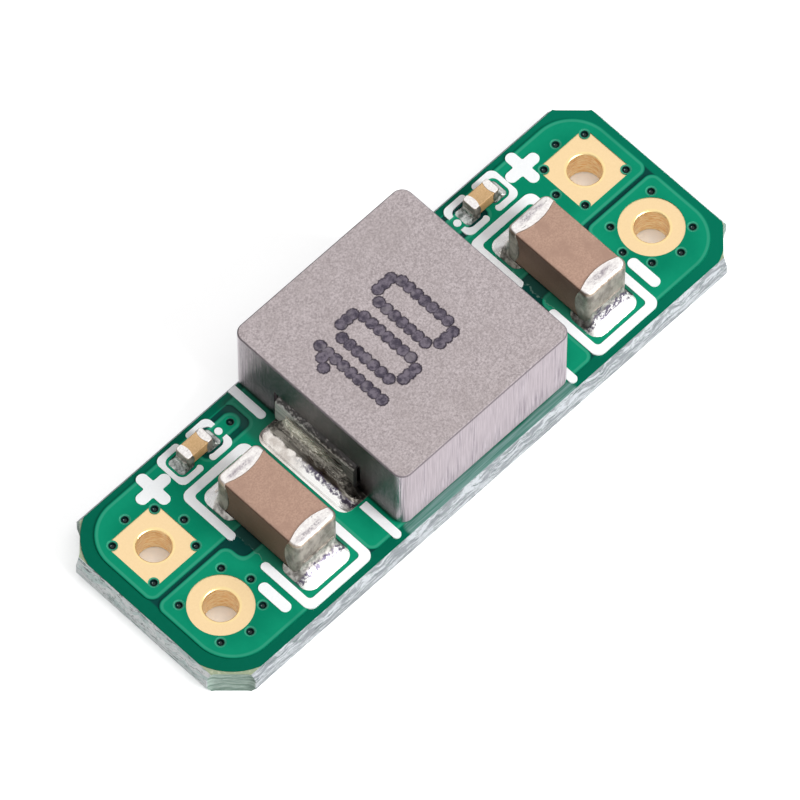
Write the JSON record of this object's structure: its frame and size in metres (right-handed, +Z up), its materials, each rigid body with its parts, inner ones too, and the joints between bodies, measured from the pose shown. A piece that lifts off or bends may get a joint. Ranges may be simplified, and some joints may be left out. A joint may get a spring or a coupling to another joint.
{
  "type": "lc filter module",
  "caption": "Small power filter board with a moulded square inductor between ceramic chip capacitors and plated wire holes at both ends.",
  "frame": {"origin": "centre of the four wire holes, on the board's underside", "axes": "+X from the input end to the output end, +Y towards the positive row of holes, +Z up through the parts"},
  "size_m": [0.0203, 0.007, 0.0037],
  "materials": {
    "laminate": "satin glass fibre and resin",
    "copper": "bare copper",
    "solder_mask": "glossy lacquer",
    "legend_ink": "matte ink",
    "gold_plating": "satin gold plating",
    "pressed_powder": "fine speckled matte",
    "tinned_strip": "drawn tin plating",
    "solder": "bright solder",
    "large_ceramic": "fired matte",
    "small_ceramic": "fired matte",
    "plated_end": "grainy tin plating"
  },
  "bodies": {
    "root": {"capacitor_input_ceramic": "large_ceramic", "capacitor_input_end_ground": "plated_end", "capacitor_input_end_positive": "plated_end", "capacitor_output_ceramic": "large_ceramic", "capacitor_output_end_ground": "plated_end", "capacitor_output_end_positive": "plated_end", "copper_input_ground": "copper", "copper_input_positive": "copper", "copper_output_ground": "copper", "copper_output_positive": "copper", "copper_underside_ground": "copper", "copper_underside_positive": "copper", "inductor_body": "pressed_powder", "inductor_terminal_input": "tinned_strip", "inductor_terminal_output": "tinned_strip", "inductor_winding": "copper", "plated_hole_input_negative": "gold_plating", "plated_hole_input_positive": "gold_plating", "plated_hole_output_negative": "gold_plating", "plated_hole_output_positive": "gold_plating", "silkscreen_legend": "legend_ink", "small_capacitor_input_ceramic": "small_ceramic", "small_capacitor_input_end_ground": "plated_end", "small_capacitor_input_end_positive": "plated_end", "small_capacitor_output_ceramic": "small_ceramic", "small_capacitor_output_end_ground": "plated_end", "small_capacitor_output_end_positive": "plated_end", "small_capacitor_tracks": "copper", "solder_capacitor_input_ground": "solder", "solder_capacitor_input_positive": "solder", "solder_capacitor_output_ground": "solder", "solder_capacitor_output_positive": "solder", "solder_inductor_input": "solder", "solder_inductor_output": "solder", "solder_mask_top": "solder_mask", "solder_mask_underside": "solder_mask", "solder_small_capacitor_input_ground": "solder", "solder_small_capacitor_input_positive": "solder", "solder_small_capacitor_output_ground": "solder", "solder_small_capacitor_output_positive": "solder", "substrate": "laminate", "via_barrels": "copper"}
  },
  "joints": []
}
